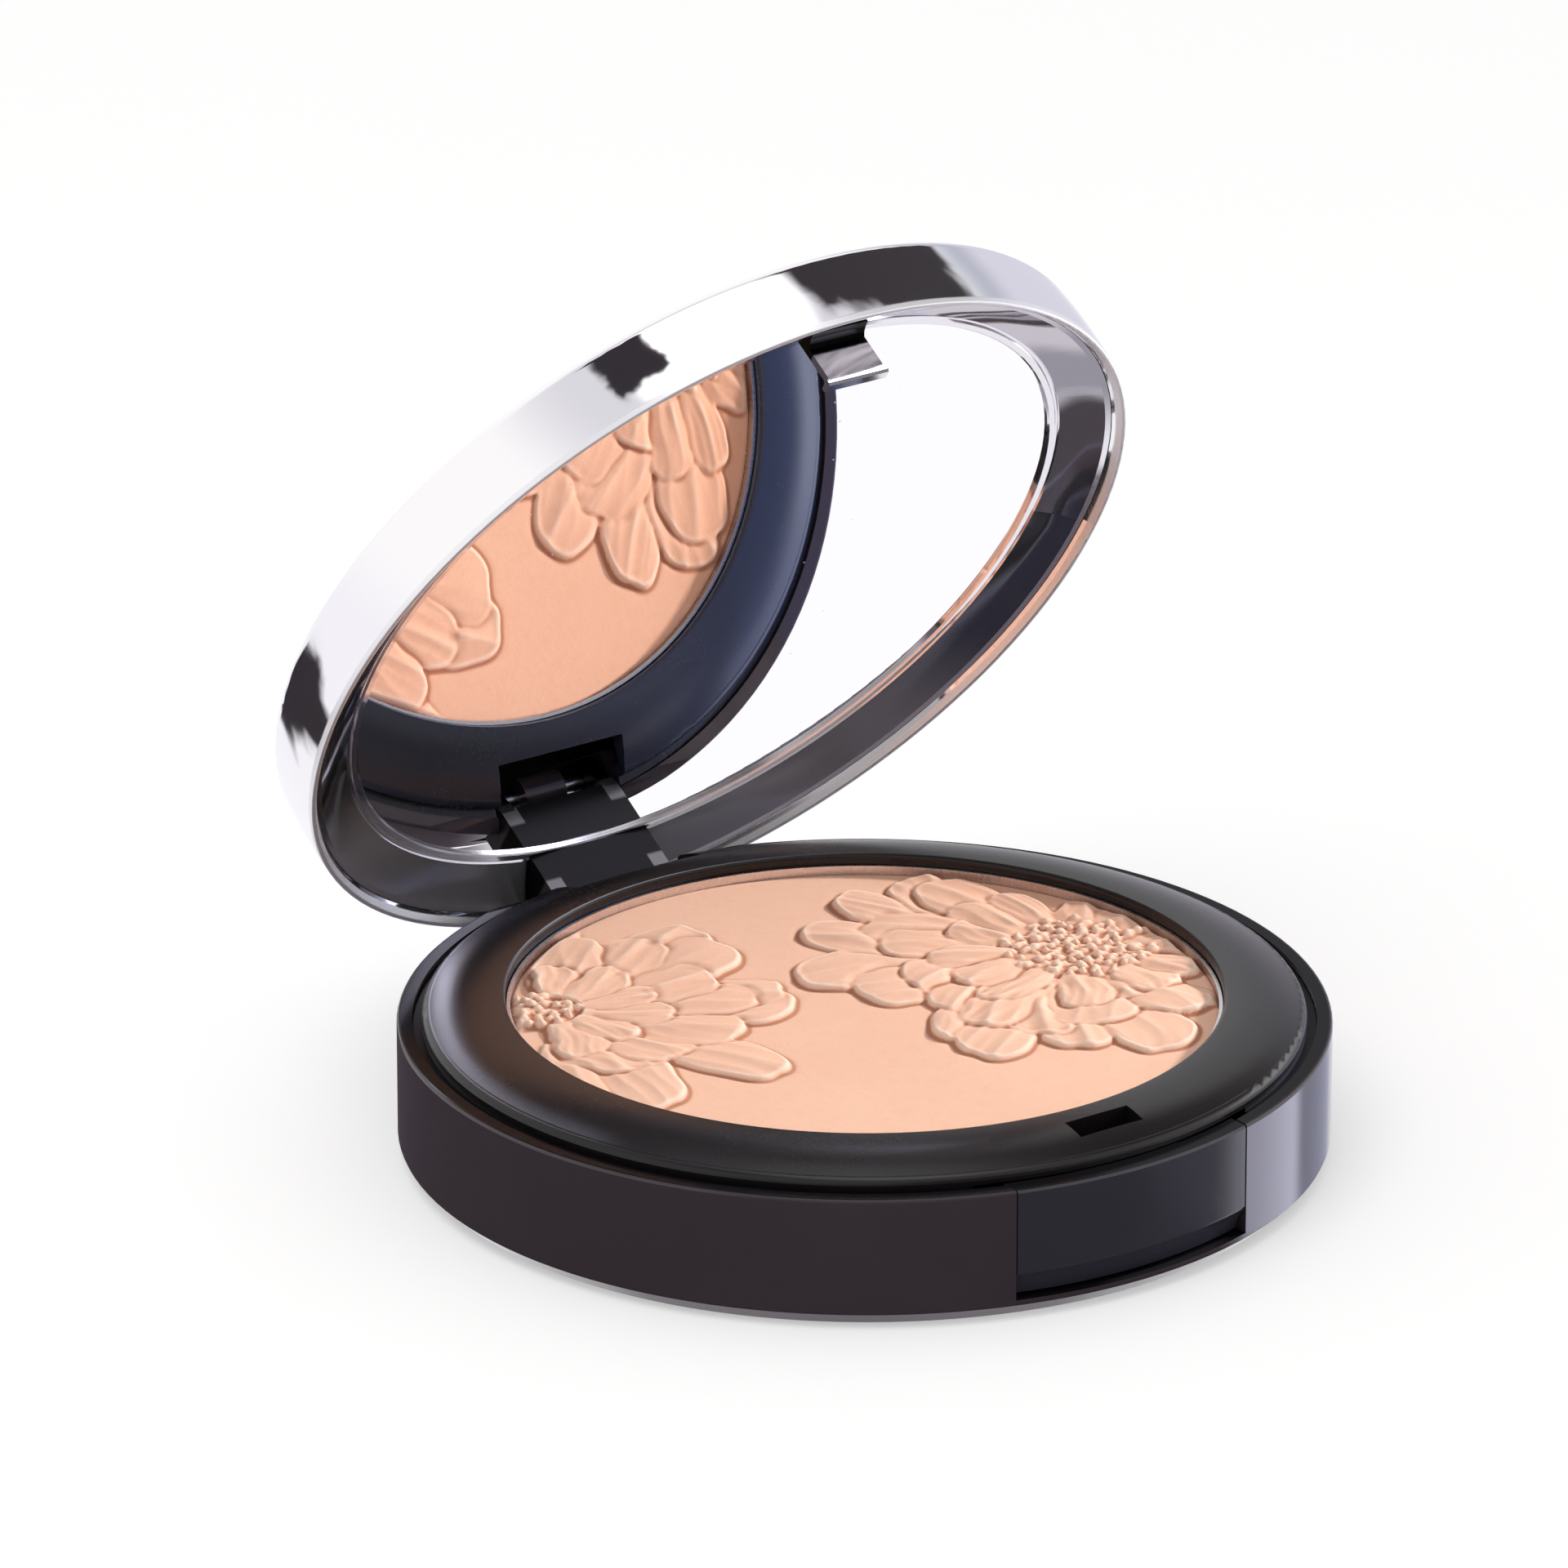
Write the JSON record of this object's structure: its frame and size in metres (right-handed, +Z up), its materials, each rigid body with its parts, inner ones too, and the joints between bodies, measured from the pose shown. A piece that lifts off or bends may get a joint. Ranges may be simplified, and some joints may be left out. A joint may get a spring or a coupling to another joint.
{
  "type": "powder compact",
  "caption": "Round pressed-powder compact with a hinged mirror lid, a raised black bezel around a pan of embossed powder, and a push plate in the front wall that frees the lid.",
  "frame": {"origin": "on the resting plane at the centre of the base", "axes": "+Z up out of the powder, +Y from the centre towards the hinge, -Y towards the push plate; lid at rest is 58 degrees open"},
  "size_m": [0.0774, 0.0848, 0.0757],
  "materials": {
    "base_plastic": "high gloss, moulded, nearly black with a plum cast",
    "deck_plastic": "satin gloss, nearly black",
    "pan_metal": "plain rolled sheet",
    "powder": "matt, fine grained pressed powder, peach",
    "glue": "translucent hot-melt adhesive",
    "label": "matt black, blank",
    "pin_steel": "drawn wire",
    "plate_plastic": "gloss, nearly black",
    "catch_plastic": "matt moulded",
    "spring_steel": "drawn spring wire",
    "lid_plating": "bright plated",
    "frame_plating": "bright plated",
    "mirror": "silvered glass",
    "tape": "closed-cell foam tape",
    "hook_plating": "bright plated"
  },
  "bodies": {
    "base": {"base_shell": "base_plastic", "bezel_deck": "deck_plastic", "powder_pan": "pan_metal", "pressed_powder": "powder", "pan_glue_pads": "glue", "base_label": "label", "hinge_pin": "pin_steel", "return_springs": "spring_steel"},
    "button": {"push_plate": "plate_plastic", "catch_slider": "catch_plastic"},
    "lid": {"lid_cover": "lid_plating", "mirror_frame": "frame_plating", "mirror_glass": "mirror", "mirror_tape": "tape", "latch_hook": "hook_plating"}
  },
  "joints": [
    {"name": "lid_hinge", "type": "hinge", "parent": "base", "child": "lid", "pos_m": [0, 0.03545, 0.0074], "axis": [-1, 0, 0], "range_deg": [-58, 42]},
    {"name": "push_plate_travel", "type": "slide", "parent": "base", "child": "button", "axis": [0, 1, 0], "range_m": [0, 0.001], "stiffness_N_per_m": 250, "springref_m": -0.0005, "deforming": ["return_springs"]}
  ]
}
